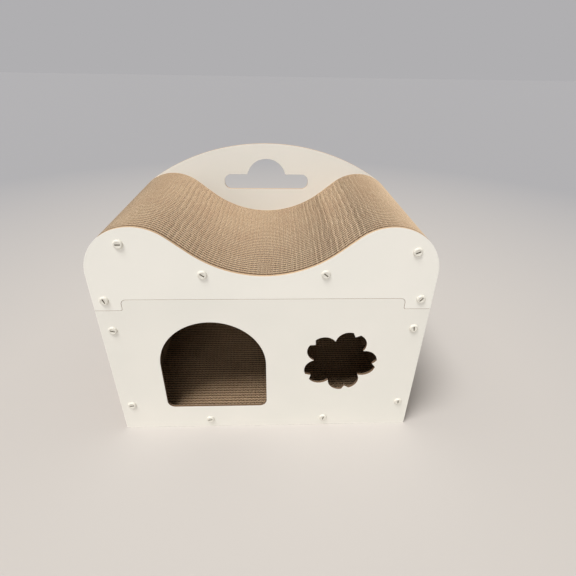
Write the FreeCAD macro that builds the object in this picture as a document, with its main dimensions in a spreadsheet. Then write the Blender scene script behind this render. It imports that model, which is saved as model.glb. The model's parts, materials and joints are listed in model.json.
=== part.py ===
"""Cat scratching lounge on a cat house: corrugated cores between cut boards, held by plastic screws.

The seat module (bed) stands on the house module (house). Both are sandwiches: laminated corrugated
cores with flat boards screwed to the front and the back. X runs along the width, the front faces -Y
and Z is up. The origin is on the floor, in the middle of the footprint.
"""
import FreeCAD, Part
import math
import os
import re
from types import SimpleNamespace

import Sketcher
from FreeCAD import Rotation, Vector

# Ends of edges closer than this are the same point.
NEAR = 1e-6

# Driving dimensions in millimetres, and in degrees where the name ends in angle.
SIZES = {
    # Boards and cores
    "panel_width": 550.0,
    "panel_thickness": 5.0,
    "core_depth": 301.0,
    "core_thickness": 42.0,
    "floor_thickness": 40.0,
    # Grooves along the cut edges of the cores, the first and the last at a margin from the boards
    "groove_margin": 13.0,
    "groove_width": 3.6,
    "groove_depth": 4.0,
    # Joint line between the two modules
    "shoulder_height": 276.0,
    "tongue_height": 20.5,
    "tongue_corner_radius": 8.0,
    "ear_width": 44.5,
    "ear_corner_radius": 3.0,
    "seam_gap": 0.6,
    # Wave of the seat, its heights measured up from the shoulders
    "lobe_radius": 80.0,
    "lobe_rise": 144.0,
    "valley_rise": 62.5,
    "flank_length": 38.37,
    # Backrest, and its hand hole measured down from its top
    "backrest_rise": 204.0,
    "hand_slot_drop": 93.4,
    "hand_slot_length": 178.0,
    "hand_slot_radius": 14.0,
    "hand_slot_end_flat": 3.0,
    "hand_dome_radius": 41.0,
    "hand_dome_rise": 32.2,
    "hand_dome_fillet": 3.0,
    # Door
    "door_width": 187.0,
    "door_sill": 55.0,
    "door_head_drop": 24.4,
    "door_corner_radius": 14.0,
    "door_centre_offset": 93.5,
    # Blossom window, its centre measured down from the shoulders
    "blossom_offset": 132.3,
    "blossom_drop": 113.7,
    "blossom_angle": -5.1,
    "petal_valley_reach": 47.0,
    "petal_tip_reach": 66.8,
    "petal_notch_reach": 59.7,
    "petal_tip_spread": 14.5,
    "petal_side_share": 0.658,
    "petal_overlap": 10.0,
    # Screws
    "screw_head_diameter": 15.0,
    "screw_head_height": 3.0,
    "screw_head_bevel": 1.8,
    "screw_shank_diameter": 7.0,
    "screw_length": 30.0,
    "screw_tip_length": 6.0,
    "screw_tip_diameter": 2.5,
    "screw_slot_length": 8.2,
    "screw_slot_width": 1.7,
    "screw_slot_depth": 1.5,
    "screw_clearance": 0.08,
    "pilot_overrun": 0.5,
    # Places of the screws, from the edges of the cores that they bite into
    "lobe_screw_inset": 23.2,
    "left_lobe_screw_angle": 110.2,
    "right_lobe_screw_angle": 44.9,
    "back_lobe_screw_angle": 60.0,
    "valley_screw_inset": 20.9,
    "valley_screw_angle": 27.9,
    "ear_screw_inset": 19.2,
    "ear_screw_rise": 19.3,
    "wall_screw_inset": 20.9,
    "high_screw_drop": 39.5,
    "low_screw_height": 61.3,
    "floor_screw_spacing": 220.8,
}

PETAL_COUNT = 5
# One groove stands for the open flutes of three or four sheets of the laminated cores.
GROOVE_COUNT = 12
# Straight cuts that a groove's bottom takes along one side of the valley and over one lobe.
VALLEY_CUTS = 4
LOBE_CUTS = 6
# The small screws and their holes under the heads are polygons, to keep their many copies light.
HEAD_SIDES = 16
SHANK_SIDES = 6
HOLE_SIDES = 8
# How far each screw's slot is turned from level, seen from in front of its head.
SLOT_ANGLES = {
    "lobe_left": 0.0,
    "lobe_right": 25.0,
    "valley_left": -35.0,
    "valley_right": -40.0,
    "ear_left": -70.0,
    "ear_right": 50.0,
    "wall_high_left": -15.0,
    "wall_high_right": -80.0,
    "wall_low_left": 5.0,
    "wall_low_right": -85.0,
    "floor_left": 10.0,
    "floor_right": 80.0,
}

# Sizes that follow from the driving ones and from each other, as spreadsheet formulas.
DERIVED = {
    "half_width": "panel_width / 2",
    "half_depth": "core_depth / 2",
    "leg_inside": "half_width - core_thickness",
    # Wave: from the lobes' centres and the valley's bottom follows the valley's radius
    "lobe_offset": "half_width - lobe_radius",
    "lobe_height": "shoulder_height + lobe_rise - lobe_radius",
    "lobe_inner_radius": "lobe_radius - core_thickness",
    "valley_bottom": "shoulder_height + valley_rise",
    "valley_underside": "valley_bottom - core_thickness",
    "valley_radius": "(lobe_offset ^ 2 + (lobe_height - valley_bottom) ^ 2 - lobe_radius ^ 2"
                     " - flank_length ^ 2) / (2 * (lobe_rise - valley_rise))",
    "valley_under_radius": "valley_radius + core_thickness",
    "valley_height": "valley_bottom + valley_radius",
    # Grooves: their run from first to last, and the cutter that leaves them, clear of the core outside
    "groove_run": "core_depth - 2 * groove_margin",
    "groove_front": "(groove_run + groove_width) / 2",
    "groove_bottom": "half_width - groove_depth",
    "groove_outside": "half_width + groove_depth",
    "groove_over": "shoulder_height + lobe_rise + groove_depth",
    "groove_above": "shoulder_height + groove_depth",
    "groove_under": "shoulder_height - groove_depth",
    "groove_lobe_radius": "lobe_radius - groove_depth",
    "groove_valley_radius": "valley_radius + groove_depth",
    # Joint line, with half of the gap taken from either side
    "tongue_width": "panel_width - 2 * ear_width",
    "bed_notch_edge": "(tongue_width + seam_gap) / 2",
    "bed_notch_height": "shoulder_height + tongue_height + seam_gap / 2",
    "bed_notch_radius": "tongue_corner_radius + seam_gap",
    "bed_ear_height": "shoulder_height + seam_gap / 2",
    "tongue_edge": "(tongue_width - seam_gap) / 2",
    "tongue_top": "shoulder_height + tongue_height - seam_gap / 2",
    "shoulder_radius": "ear_corner_radius + seam_gap",
    "shoulder_top": "shoulder_height - seam_gap / 2",
    # Backrest, its arch tangent to both lobes
    "backrest_top": "shoulder_height + backrest_rise",
    "backrest_radius": "(lobe_offset ^ 2 + (backrest_top - lobe_height) ^ 2 - lobe_radius ^ 2)"
                       " / (2 * (backrest_rise - lobe_rise))",
    "hand_slot_end": "hand_slot_length / 2",
    "hand_slot_bottom": "backrest_top - hand_slot_drop",
    "hand_slot_top": "hand_slot_bottom + 2 * hand_slot_radius + hand_slot_end_flat",
    "hand_dome_top": "hand_slot_top + hand_dome_rise",
    "hand_dome_height": "hand_dome_top - hand_dome_radius",
    # Door and blossom window
    "door_half": "door_width / 2",
    "door_spring": "shoulder_height - door_head_drop - door_half",
    "blossom_height": "shoulder_height - blossom_drop",
    "petal_valley_x": f"petal_valley_reach * cos(180 deg / {PETAL_COUNT})",
    "petal_valley_y": f"petal_valley_reach * sin(180 deg / {PETAL_COUNT})",
    "petal_side_radius": "petal_side_share * sqrt((petal_tip_reach - petal_valley_x) ^ 2"
                         " + (petal_valley_y - petal_tip_spread / 2) ^ 2)",
    # Screws and their holes
    "head_seat": "half_depth + panel_thickness",
    "screw_head_radius": "screw_head_diameter / 2",
    "screw_shank_radius": "screw_shank_diameter / 2",
    "screw_tip_narrowing": f"(screw_shank_radius - screw_tip_diameter / 2) * cos(180 deg / {SHANK_SIDES})",
    "screw_hole_radius": f"(screw_shank_radius + screw_clearance) / cos(180 deg / {HOLE_SIDES})",
    "pilot_depth": "screw_length - panel_thickness + pilot_overrun",
    # Places of the screws
    "lobe_reach": "lobe_radius - lobe_screw_inset",
    "lobe_left_x": "lobe_reach * cos(left_lobe_screw_angle * 1 deg) - lobe_offset",
    "lobe_left_z": "lobe_reach * sin(left_lobe_screw_angle * 1 deg) + lobe_height",
    "lobe_right_x": "lobe_reach * cos(right_lobe_screw_angle * 1 deg) + lobe_offset",
    "lobe_right_z": "lobe_reach * sin(right_lobe_screw_angle * 1 deg) + lobe_height",
    "lobe_back_x": "lobe_reach * cos(back_lobe_screw_angle * 1 deg) + lobe_offset",
    "lobe_back_z": "lobe_reach * sin(back_lobe_screw_angle * 1 deg) + lobe_height",
    "valley_reach": "valley_radius + valley_screw_inset",
    "valley_x": "valley_reach * sin(valley_screw_angle * 1 deg)",
    "valley_z": "valley_height - valley_reach * cos(valley_screw_angle * 1 deg)",
    "ear_x": "half_width - ear_screw_inset",
    "ear_z": "shoulder_height + ear_screw_rise",
    "wall_x": "half_width - wall_screw_inset",
    "wall_high_z": "shoulder_height - high_screw_drop",
    "wall_low_z": "low_screw_height",
    "floor_x": "floor_screw_spacing / 2",
    "floor_z": "floor_thickness / 2",
}

# Where each screw goes: its formulas for X and Z, in front and behind.
PLACES = {
    "lobe_left": (("lobe_left_x", "lobe_left_z"), ("-lobe_back_x", "lobe_back_z")),
    "lobe_right": (("lobe_right_x", "lobe_right_z"), ("lobe_back_x", "lobe_back_z")),
    "valley_left": (("-valley_x", "valley_z"), ("-valley_x", "valley_z")),
    "valley_right": (("valley_x", "valley_z"), ("valley_x", "valley_z")),
    "ear_left": (("-ear_x", "ear_z"), ("-ear_x", "ear_z")),
    "ear_right": (("ear_x", "ear_z"), ("ear_x", "ear_z")),
    "wall_high_left": (("-wall_x", "wall_high_z"), ("-wall_x", "wall_high_z")),
    "wall_high_right": (("wall_x", "wall_high_z"), ("wall_x", "wall_high_z")),
    "wall_low_left": (("-wall_x", "wall_low_z"), ("-wall_x", "wall_low_z")),
    "wall_low_right": (("wall_x", "wall_low_z"), ("wall_x", "wall_low_z")),
    "floor_left": (("-floor_x", "floor_z"), ("-floor_x", "floor_z")),
    "floor_right": (("floor_x", "floor_z"), ("floor_x", "floor_z")),
}
BED_PLACES = ["lobe_left", "lobe_right", "valley_left", "valley_right", "ear_left", "ear_right"]
HOUSE_PLACES = [place for place in PLACES if place not in BED_PLACES]
FRONT, BACK = 0, 1

doc = FreeCAD.newDocument("cat_scratching_lounge")


def formula(text, inside=""):
    """Name the sheet of each size in a formula, as expressions need it, but the one it stands in."""
    def with_sheet(match):
        word = match.group()
        sheet = "Sizes" if word in SIZES else "Derived"
        if word not in SIZES and word not in DERIVED or sheet == inside:
            return word
        return f"{sheet}.{word}"
    return re.sub("[a-z_]+", with_sheet, text)


def make_sheet(name, cells):
    """Write named values or formulas into a spreadsheet and return their calculated values."""
    sheet = doc.addObject("Spreadsheet::Sheet", name)
    for row, (alias, content) in enumerate(cells.items(), start=1):
        sheet.set(f"A{row}", alias)
        sheet.setAlias(f"B{row}", alias)
        sheet.set(f"B{row}", content)
    doc.recompute()
    return {alias: float(sheet.get(alias)) for alias in cells}


driving = make_sheet("Sizes", {alias: str(value) for alias, value in SIZES.items()})
derived = make_sheet("Derived", {alias: "=" + formula(text, "Derived") for alias, text in DERIVED.items()})
size = SimpleNamespace(**driving, **derived)


def value_of(name):
    """Number of a driving or derived size, with a minus sign where its name has one."""
    return -vars(size)[name[1:]] if name.startswith("-") else vars(size)[name]


def new_body(name, depth="0"):
    """Start a body whose label names its file, at a depth that the sheet gives."""
    body = doc.addObject("PartDesign::Body", name)
    body.Label = name
    body.setExpression(".Placement.Base.y", formula(depth))
    return body


def new_sketch(body, name, role="XZ_Plane", offset=None):
    """Attach a new sketch to one of the body's origin planes, or beside it at an offset."""
    sketch = body.newObject("Sketcher::SketchObject", name)
    sketch.AttachmentSupport = (origin_part(body, role), [""])
    sketch.MapMode = "FlatFace"
    if offset:
        sketch.setExpression(".AttachmentOffset.Base.z", formula(offset))
    return sketch


def line(x0, y0, x1, y1):
    """A straight edge of an outline."""
    return Part.LineSegment(Vector(x0, y0, 0), Vector(x1, y1, 0))


def arc(x, y, radius, start, end):
    """A round edge of an outline, counter-clockwise from start to end in degrees."""
    circle = Part.Circle(Vector(x, y, 0), Vector(0, 0, 1), radius)
    return Part.ArcOfCircle(circle, math.radians(start), math.radians(end))


def ends(edge):
    """The two ends of an edge: sketcher number, point and direction."""
    first = (1, edge.StartPoint, edge.tangent(edge.FirstParameter)[0])
    last = (2, edge.EndPoint, edge.tangent(edge.LastParameter)[0])
    return first, last


def join(sketch, one, other):
    """Tie two edges where their ends meet, as a tangency where they run on smoothly."""
    for number_a, point_a, run_a in ends(sketch.Geometry[one]):
        for number_b, point_b, run_b in ends(sketch.Geometry[other]):
            if point_a.isEqual(point_b, NEAR):
                kind = "Tangent" if run_a.cross(run_b).Length < NEAR else "Coincident"
                sketch.addConstraint(Sketcher.Constraint(kind, one, number_a, other, number_b))
                return


def draw(sketch, edges):
    """Add a closed chain of edges, tie each to the next, and keep level and upright lines so."""
    for edge in edges:
        sketch.addGeometry(edge, False)
    last = len(edges) - 1
    for number in range(len(edges)):
        join(sketch, number, 0 if number == last else number + 1)
    straight = [(number, edge) for number, edge in enumerate(edges) if isinstance(edge, Part.LineSegment)]
    for number, edge in straight:
        run = edge.EndPoint - edge.StartPoint
        if abs(run.y) < NEAR:
            sketch.addConstraint(Sketcher.Constraint("Horizontal", number))
        elif abs(run.x) < NEAR:
            sketch.addConstraint(Sketcher.Constraint("Vertical", number))


def bind(sketch, name, text, *constraint):
    """Add a dimension to a sketch and tie it to the spreadsheet."""
    index = sketch.addConstraint(Sketcher.Constraint(*constraint))
    sketch.renameConstraint(index, name)
    sketch.setExpression(f"Constraints.{name}", formula(text))


def pad(body, sketch, length, reverse=False, symmetric=False, name=None):
    """Extrude a closed sketch to a length that the sheet gives."""
    feature = body.newObject("PartDesign::Pad", name or f"{body.Name}_pad")
    feature.Profile = sketch
    feature.Reversed = reverse
    feature.SideType = "Symmetric" if symmetric else "One side"
    feature.setExpression("Length", formula(length))
    return feature


def cut(body, sketch, name, depth=None, reverse=False):
    """Cut a closed sketch out of the body, right through or to a depth that the sheet gives."""
    feature = body.newObject("PartDesign::Pocket", name)
    feature.Profile = sketch
    feature.Reversed = reverse
    if depth:
        feature.setExpression("Length", formula(depth))
    else:
        feature.Type = "ThroughAll"
        feature.SideType = "Symmetric"
    return feature


def mirror(body, features):
    """Double the features of the right half across the middle of the width."""
    doubled = body.newObject("PartDesign::Mirrored", f"{body.Name}_mirror")
    doubled.Originals = features
    doubled.MirrorPlane = (origin_part(body, "YZ_Plane"), [""])
    body.Tip = doubled


def origin_part(body, role):
    """Find one of the body's origin planes or axes."""
    return next(feature for feature in body.Origin.OriginFeatures if feature.Role == role)


def repeat_grooves(body, sketch, both_sides=False):
    """Cut the foremost groove, and repeat it to the back and, for the seat, on the left half."""
    groove = cut(body, sketch, f"{body.Name}_groove", "groove_width")
    steps = []
    if both_sides:
        other_side = body.newObject("PartDesign::Mirrored", f"{body.Name}_groove_other_side")
        other_side.MirrorPlane = (origin_part(body, "YZ_Plane"), [""])
        steps.append(other_side)
    row = body.newObject("PartDesign::LinearPattern", f"{body.Name}_groove_row")
    row.Direction = (origin_part(body, "Y_Axis"), [""])
    row.setExpression("Length", formula("groove_run"))
    row.Occurrences = GROOVE_COUNT
    steps.append(row)
    grooves = body.newObject("PartDesign::MultiTransform", f"{body.Name}_grooves")
    grooves.Originals = [groove]
    grooves.Transformations = steps
    body.Tip = grooves


def wave_angle():
    """Angle at which the straight flank leaves the valley's arc, in degrees."""
    rise = size.lobe_height - size.valley_height
    apart = math.hypot(size.lobe_offset, rise)
    lean = math.acos((size.lobe_radius + size.valley_radius) / apart)
    return math.degrees(math.atan2(rise, size.lobe_offset) - lean)


def wave(lobe_radius, valley_radius):
    """Lobe, straight flank and valley of the right half of the wave, from the side to the middle."""
    angle = wave_angle()
    run = (math.cos(math.radians(angle)), math.sin(math.radians(angle)))
    from_lobe = (size.lobe_offset - lobe_radius * run[0], size.lobe_height - lobe_radius * run[1])
    to_valley = (valley_radius * run[0], size.valley_height + valley_radius * run[1])
    return [
        arc(size.lobe_offset, size.lobe_height, lobe_radius, 0, angle + 180),
        line(*from_lobe, *to_valley),
        arc(0, size.valley_height, valley_radius, -90, angle),
    ]


def bind_wave(sketch, lobe, valley, prefix, lobe_radius, valley_radius):
    """Fix the lobe's and the valley's centres and radii."""
    bind(sketch, f"{prefix}_lobe_x", "lobe_offset", "DistanceX", -1, 1, lobe, 3, size.lobe_offset)
    bind(sketch, f"{prefix}_lobe_z", "lobe_height", "DistanceY", -1, 1, lobe, 3, size.lobe_height)
    bind(sketch, f"{prefix}_lobe_radius", lobe_radius, "Radius", lobe, value_of(lobe_radius))
    sketch.addConstraint(Sketcher.Constraint("PointOnObject", valley, 3, -2))
    bind(sketch, f"{prefix}_valley_z", "valley_height", "DistanceY", -1, 1, valley, 3, size.valley_height)
    bind(sketch, f"{prefix}_valley_radius", valley_radius, "Radius", valley, value_of(valley_radius))


def bed_notch():
    """Lower edge of a bed board's right half: over the tongue, down beside it and along the ear."""
    edge, height, radius = size.bed_notch_edge, size.bed_notch_height, size.bed_notch_radius
    ear, ear_radius = size.bed_ear_height, size.ear_corner_radius
    return [
        line(0, height, edge - radius, height),
        arc(edge - radius, height - radius, radius, 0, 90),
        line(edge, height - radius, edge, ear + ear_radius),
        arc(edge + ear_radius, ear + ear_radius, ear_radius, 180, 270),
        line(edge + ear_radius, ear, size.half_width, ear),
    ]


def bind_notch(sketch):
    """Fix the lower edge of a bed board."""
    bind(sketch, "notch_height", "bed_notch_height", "DistanceY", -1, 1, 0, 1, size.bed_notch_height)
    bind(sketch, "notch_edge", "bed_notch_edge", "DistanceX", -1, 1, 2, 1, size.bed_notch_edge)
    bind(sketch, "notch_radius", "bed_notch_radius", "Radius", 1, size.bed_notch_radius)
    bind(sketch, "ear_radius", "ear_corner_radius", "Radius", 3, size.ear_corner_radius)
    bind(sketch, "ear_height", "bed_ear_height", "DistanceY", -1, 1, 4, 2, size.bed_ear_height)


def drill(body, places, side, depth=None, face=None):
    """Drill the body at the screws' places, right through or as pilot holes from one face."""
    sketch = new_sketch(body, f"{body.Name}_holes_{side}", offset=face)
    for place in places:
        along, up = PLACES[place][side]
        centre = Vector(value_of(along), value_of(up), 0)
        circle = add_polygon(sketch, HOLE_SIDES, size.screw_hole_radius, centre)
        bind(sketch, f"{place}_x", along, "DistanceX", -1, 1, circle, 3, centre.x)
        bind(sketch, f"{place}_z", up, "DistanceY", -1, 1, circle, 3, centre.y)
        bind(sketch, f"{place}_radius", "screw_hole_radius", "Radius", circle, size.screw_hole_radius)
    cut(body, sketch, f"{body.Name}_drill_{side}", depth, reverse=bool(depth) and side == BACK)


def make_bed_front_panel():
    """Front board of the lounge: humps, valley, ears and the notch over the tongue."""
    body = new_body("bed_front_panel", "-half_depth")
    outline = new_sketch(body, "bed_front_outline")
    top = wave(size.lobe_radius, size.valley_radius)
    edges = bed_notch() + [line(size.half_width, size.bed_ear_height, size.half_width, size.lobe_height)] + top
    draw(outline, edges + [line(0, size.valley_bottom, 0, size.bed_notch_height)])
    bind_notch(outline)
    bind_wave(outline, 6, 8, "top", "lobe_radius", "valley_radius")
    board = pad(body, outline, "panel_thickness")
    mirror(body, [board])
    drill(body, BED_PLACES, FRONT)


def make_bed_back_panel():
    """Back board of the lounge: the arched backrest with the cloud-shaped hand hole."""
    body = new_body("bed_back_panel", "half_depth")
    outline = new_sketch(body, "bed_back_outline")
    arch_height = size.backrest_top - size.backrest_radius
    meet = math.degrees(math.atan2(size.lobe_height - arch_height, size.lobe_offset))
    edges = bed_notch() + [
        line(size.half_width, size.bed_ear_height, size.half_width, size.lobe_height),
        arc(size.lobe_offset, size.lobe_height, size.lobe_radius, 0, meet),
        arc(0, arch_height, size.backrest_radius, meet, 90),
        line(0, size.backrest_top, 0, size.bed_notch_height),
    ]
    draw(outline, edges)
    bind_notch(outline)
    bind(outline, "lobe_x", "lobe_offset", "DistanceX", -1, 1, 6, 3, size.lobe_offset)
    bind(outline, "lobe_z", "lobe_height", "DistanceY", -1, 1, 6, 3, size.lobe_height)
    bind(outline, "backrest_top", "backrest_top", "DistanceY", -1, 1, 7, 2, size.backrest_top)
    outline.addConstraint(Sketcher.Constraint("PointOnObject", 7, 3, -2))
    board = pad(body, outline, "panel_thickness", reverse=True)
    hand_hole = cut(body, make_hand_hole_sketch(body), "bed_back_hand_hole")
    mirror(body, [board, hand_hole])
    drill(body, BED_PLACES, BACK)


def make_hand_hole_sketch(body):
    """Right half of the cloud: a round-ended slot with a dome over its middle."""
    sketch = new_sketch(body, "hand_hole")
    end, radius = size.hand_slot_end, size.hand_slot_radius
    low, high = size.hand_slot_bottom, size.hand_slot_top
    dome, fillet = size.hand_dome_radius, size.hand_dome_fillet
    centre = size.hand_dome_height
    fillet_rise = high + fillet - centre
    fillet_x = math.sqrt((dome + fillet) ** 2 - fillet_rise ** 2)
    meet = math.degrees(math.atan2(fillet_rise, fillet_x))
    draw(sketch, [
        line(0, low, end - radius, low),
        arc(end - radius, low + radius, radius, -90, 0),
        line(end, low + radius, end, high - radius),
        arc(end - radius, high - radius, radius, 0, 90),
        line(end - radius, high, fillet_x, high),
        arc(fillet_x, high + fillet, fillet, meet + 180, 270),
        arc(0, centre, dome, meet, 90),
        line(0, size.hand_dome_top, 0, low),
    ])
    bind(sketch, "low", "hand_slot_bottom", "DistanceY", -1, 1, 0, 1, low)
    bind(sketch, "high", "hand_slot_top", "DistanceY", -1, 1, 4, 1, high)
    bind(sketch, "end", "hand_slot_end", "DistanceX", -1, 1, 2, 1, end)
    bind(sketch, "lower_radius", "hand_slot_radius", "Radius", 1, radius)
    bind(sketch, "upper_radius", "hand_slot_radius", "Radius", 3, radius)
    bind(sketch, "fillet", "hand_dome_fillet", "Radius", 5, fillet)
    bind(sketch, "dome", "hand_dome_radius", "Radius", 6, dome)
    bind(sketch, "dome_top", "hand_dome_top", "DistanceY", -1, 1, 6, 2, size.hand_dome_top)
    sketch.addConstraint(Sketcher.Constraint("PointOnObject", 6, 3, -2))
    return sketch


def make_saddle_core():
    """Laminated seat: a band of even thickness under the wave, with a leg at each end."""
    body = new_body("saddle_core")
    outline = new_sketch(body, "saddle_outline")
    top = wave(size.lobe_radius, size.valley_radius)
    under = wave(size.lobe_inner_radius, size.valley_under_radius)
    inside, low, high = size.leg_inside, size.shoulder_height, size.lobe_height
    draw(outline, [
        line(inside, low, size.half_width, low),
        line(size.half_width, low, size.half_width, high),
        *top,
        line(0, size.valley_bottom, 0, size.valley_underside),
        *reversed(under),
        line(inside, high, inside, low),
    ])
    bind(outline, "leg_inside", "leg_inside", "DistanceX", -1, 1, 0, 1, inside)
    bind(outline, "leg_foot", "shoulder_height", "DistanceY", -1, 1, 0, 1, low)
    bind_wave(outline, 2, 4, "top", "lobe_radius", "valley_radius")
    outline.addConstraint(Sketcher.Constraint("Coincident", 8, 3, 2, 3))
    outline.addConstraint(Sketcher.Constraint("Coincident", 6, 3, 4, 3))
    bind(outline, "under_valley", "valley_under_radius", "Radius", 6, size.valley_under_radius)
    band = pad(body, outline, "core_depth", symmetric=True)
    mirror(body, [band])
    repeat_grooves(body, make_saddle_groove_sketch(body), both_sides=True)
    drill(body, BED_PLACES, FRONT, "pilot_depth", "half_depth")
    drill(body, BED_PLACES, BACK, "pilot_depth", "-half_depth")


def make_saddle_groove_sketch(body):
    """What the saw-cut edge of the right half loses in a groove: a strip along the wave and the leg."""
    sketch = new_sketch(body, "saddle_groove", offset="groove_front")
    bottom, outside = size.groove_bottom, size.groove_outside
    under, over = size.groove_under, size.groove_over
    strip = wave(size.groove_lobe_radius, size.groove_valley_radius)
    draw(sketch, [
        line(bottom, under, outside, under),
        line(outside, under, outside, over),
        line(outside, over, 0, over),
        line(0, over, 0, size.valley_bottom - size.groove_depth),
        *reversed(strip),
        line(bottom, size.lobe_height, bottom, under),
    ])
    bind(sketch, "under", "groove_under", "DistanceY", -1, 1, 0, 1, under)
    bind(sketch, "outside", "groove_outside", "DistanceX", -1, 1, 1, 1, outside)
    bind(sketch, "over", "groove_over", "DistanceY", -1, 1, 2, 1, over)
    bind_wave(sketch, 6, 4, "groove", "groove_lobe_radius", "groove_valley_radius")
    straighten(sketch, 4, VALLEY_CUTS)
    straighten(sketch, 6, LOBE_CUTS)
    return sketch


def straighten(sketch, curve, count):
    """Replace an arc of a sketch with equal straight cuts that have their ends on it."""
    bend = sketch.Geometry[curve]
    start, turn = bend.FirstParameter, bend.LastParameter - bend.FirstParameter
    corners = [bend.value(start + turn * number / count) for number in range(count + 1)]
    first = sketch.GeometryCount
    sketch.toggleConstruction(curve)
    for one, other in zip(corners, corners[1:]):
        sketch.addGeometry(Part.LineSegment(one, other), False)
    last = sketch.GeometryCount - 1
    sketch.addConstraint(Sketcher.Constraint("Coincident", first, 1, curve, 1))
    for number in range(first, last):
        sketch.addConstraint(Sketcher.Constraint("Coincident", number, 2, number + 1, 1))
        sketch.addConstraint(Sketcher.Constraint("PointOnObject", number, 2, curve))
        sketch.addConstraint(Sketcher.Constraint("Equal", number, number + 1))
    sketch.addConstraint(Sketcher.Constraint("Coincident", last, 2, curve, 2))


def make_house_panel(name, depth, side):
    """A plain house board: the wall up to the shoulders and the tongue between the ears."""
    body = new_body(name, depth)
    outline = new_sketch(body, f"{name}_outline")
    edge, top, corner = size.tongue_edge, size.tongue_top, size.tongue_corner_radius
    shoulder, radius = size.shoulder_top, size.shoulder_radius
    draw(outline, [
        line(0, 0, size.half_width, 0),
        line(size.half_width, 0, size.half_width, shoulder),
        line(size.half_width, shoulder, edge + radius, shoulder),
        arc(edge + radius, shoulder + radius, radius, 180, 270),
        line(edge, shoulder + radius, edge, top - corner),
        arc(edge - corner, top - corner, corner, 0, 90),
        line(edge - corner, top, 0, top),
        line(0, top, 0, 0),
    ])
    outline.addConstraint(Sketcher.Constraint("Coincident", 0, 1, -1, 1))
    bind(outline, "half_width", "half_width", "DistanceX", -1, 1, 0, 2, size.half_width)
    bind(outline, "shoulder", "shoulder_top", "DistanceY", -1, 1, 1, 2, shoulder)
    bind(outline, "shoulder_radius", "shoulder_radius", "Radius", 3, radius)
    bind(outline, "tongue_edge", "tongue_edge", "DistanceX", -1, 1, 4, 2, edge)
    bind(outline, "tongue_corner", "tongue_corner_radius", "Radius", 5, corner)
    bind(outline, "tongue_top", "tongue_top", "DistanceY", -1, 1, 6, 2, top)
    board = pad(body, outline, "panel_thickness", reverse=side == BACK)
    mirror(body, [board])
    drill(body, HOUSE_PLACES, side)
    return body


def make_house_front_panel():
    """Front board of the house, with the arched door and the blossom window."""
    body = make_house_panel("house_front_panel", "-half_depth", FRONT)
    cut(body, make_door_sketch(body), "door_opening")
    petal = cut(body, make_petal_sketch(body), "petal_opening")
    blossom = body.newObject("PartDesign::PolarPattern", "blossom_opening")
    blossom.Originals = [petal]
    blossom.Axis = (petal.Profile[0], ["N_Axis"])
    blossom.Angle = 360
    blossom.Occurrences = PETAL_COUNT
    body.Tip = blossom


def make_door_sketch(body):
    """Door outline: a level sill with rounded corners, upright jambs and a half-round head."""
    sketch = new_sketch(body, "door")
    half, corner = size.door_half, size.door_corner_radius
    middle, sill, spring = -size.door_centre_offset, size.door_sill, size.door_spring
    draw(sketch, [
        line(middle - half + corner, sill, middle + half - corner, sill),
        arc(middle + half - corner, sill + corner, corner, -90, 0),
        line(middle + half, sill + corner, middle + half, spring),
        arc(middle, spring, half, 0, 180),
        line(middle - half, spring, middle - half, sill + corner),
        arc(middle - half + corner, sill + corner, corner, 180, 270),
    ])
    bind(sketch, "sill", "door_sill", "DistanceY", -1, 1, 0, 1, sill)
    bind(sketch, "right_corner", "door_corner_radius", "Radius", 1, corner)
    bind(sketch, "left_corner", "door_corner_radius", "Radius", 5, corner)
    bind(sketch, "half_width", "door_half", "Radius", 3, half)
    bind(sketch, "middle", "-door_centre_offset", "DistanceX", -1, 1, 3, 3, middle)
    bind(sketch, "spring", "door_spring", "DistanceY", -1, 1, 3, 3, spring)
    return sketch


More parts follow.
